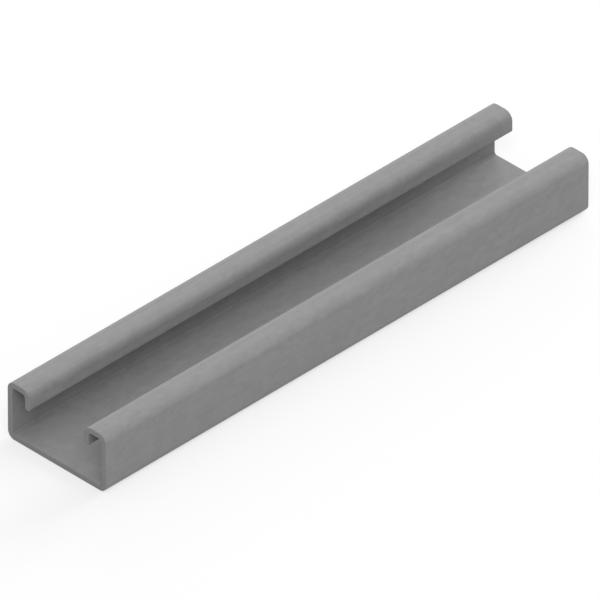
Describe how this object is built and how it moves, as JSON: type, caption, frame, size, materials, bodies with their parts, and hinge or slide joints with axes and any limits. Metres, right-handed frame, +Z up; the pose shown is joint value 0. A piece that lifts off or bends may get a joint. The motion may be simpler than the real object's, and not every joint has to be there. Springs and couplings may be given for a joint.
{
  "type": "strut channel",
  "caption": "Shallow lipped steel strut channel with a solid back and a continuous slot for channel nuts, cut to a short length.",
  "frame": {"origin": "middle of the underside, on the outside of the solid back, halfway along the length", "axes": "+X along the length, +Y across the width, +Z up out of the slot"},
  "size_m": [0.2032, 0.0412, 0.0206],
  "materials": {
    "zinc_coated_steel": "matte"
  },
  "bodies": {
    "root": {"strut_channel": "zinc_coated_steel"}
  },
  "joints": []
}
